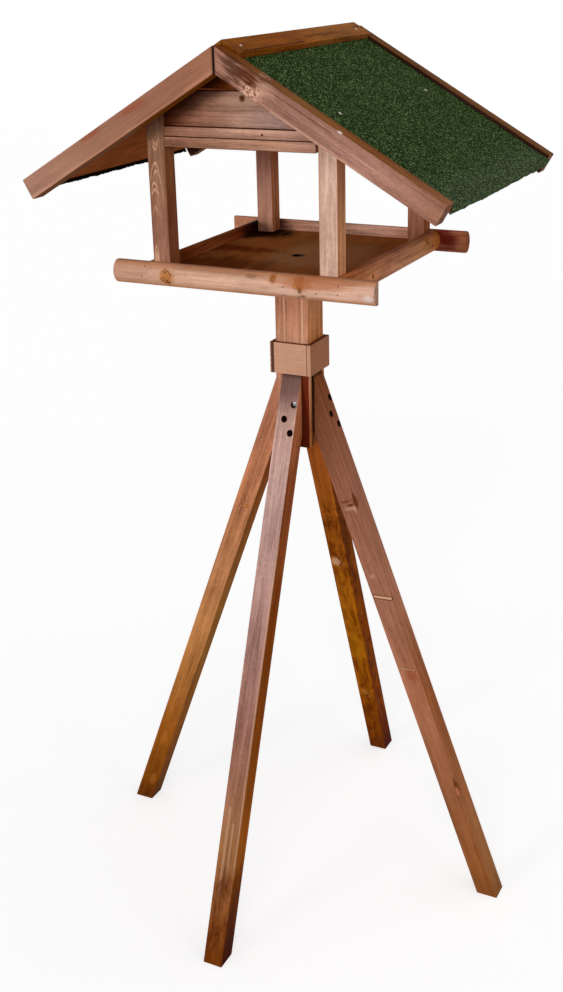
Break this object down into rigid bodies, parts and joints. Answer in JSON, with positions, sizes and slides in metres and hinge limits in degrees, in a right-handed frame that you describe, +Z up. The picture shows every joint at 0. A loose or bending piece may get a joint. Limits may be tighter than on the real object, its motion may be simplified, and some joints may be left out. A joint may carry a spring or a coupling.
{
  "type": "bird feeder on pole",
  "caption": "Free-standing wooden bird table: a gabled open feeding house with felt roof and railed tray, lifting off a square pole carried by splayed legs.",
  "frame": {"origin": "on the ground under the axis of the pole, midway between the feet", "axes": "+Z up along the pole's axis; +X to the right of the gable front; -Y out of the front gable, the ridge running along Y"},
  "size_m": [0.728, 0.728, 1.4056],
  "materials": {
    "stained_house_timber": "stained planed softwood, satin",
    "stained_stand_timber": "stained planed softwood, satin",
    "stained_plywood": "stained plywood, matte",
    "roofing_felt": "bitumen felt with green mineral granules, matte",
    "zinc_steel": "zinc plated"
  },
  "bodies": {
    "stand": {"back_collar_board": "stained_stand_timber", "back_leg": "stained_stand_timber", "front_collar_board": "stained_stand_timber", "front_leg": "stained_stand_timber", "left_collar_board": "stained_stand_timber", "left_leg": "stained_stand_timber", "leg_screws": "zinc_steel", "lower_pole": "stained_stand_timber", "right_collar_board": "stained_stand_timber", "right_leg": "stained_stand_timber"},
    "house": {"back_gable_board": "stained_house_timber", "back_left_barge_board": "stained_house_timber", "back_left_post": "stained_house_timber", "back_lower_batten": "stained_house_timber", "back_peak_board": "stained_house_timber", "back_rail": "stained_house_timber", "back_right_barge_board": "stained_house_timber", "back_right_post": "stained_house_timber", "back_upper_batten": "stained_house_timber", "front_gable_board": "stained_house_timber", "front_left_barge_board": "stained_house_timber", "front_left_post": "stained_house_timber", "front_lower_batten": "stained_house_timber", "front_peak_board": "stained_house_timber", "front_rail": "stained_house_timber", "front_right_barge_board": "stained_house_timber", "front_right_post": "stained_house_timber", "front_upper_batten": "stained_house_timber", "left_rail": "stained_house_timber", "left_ridge_cap": "stained_house_timber", "left_roof_felt": "roofing_felt", "left_roof_panel": "stained_plywood", "right_rail": "stained_house_timber", "right_ridge_cap": "stained_house_timber", "right_roof_felt": "roofing_felt", "right_roof_panel": "stained_plywood", "tray_floor": "stained_plywood", "tray_screw": "zinc_steel", "upper_pole": "stained_stand_timber"}
  },
  "joints": [
    {"name": "house_lift", "type": "slide", "parent": "stand", "child": "house", "axis": [0, 0, 1], "range_m": [0, 0.03]}
  ]
}
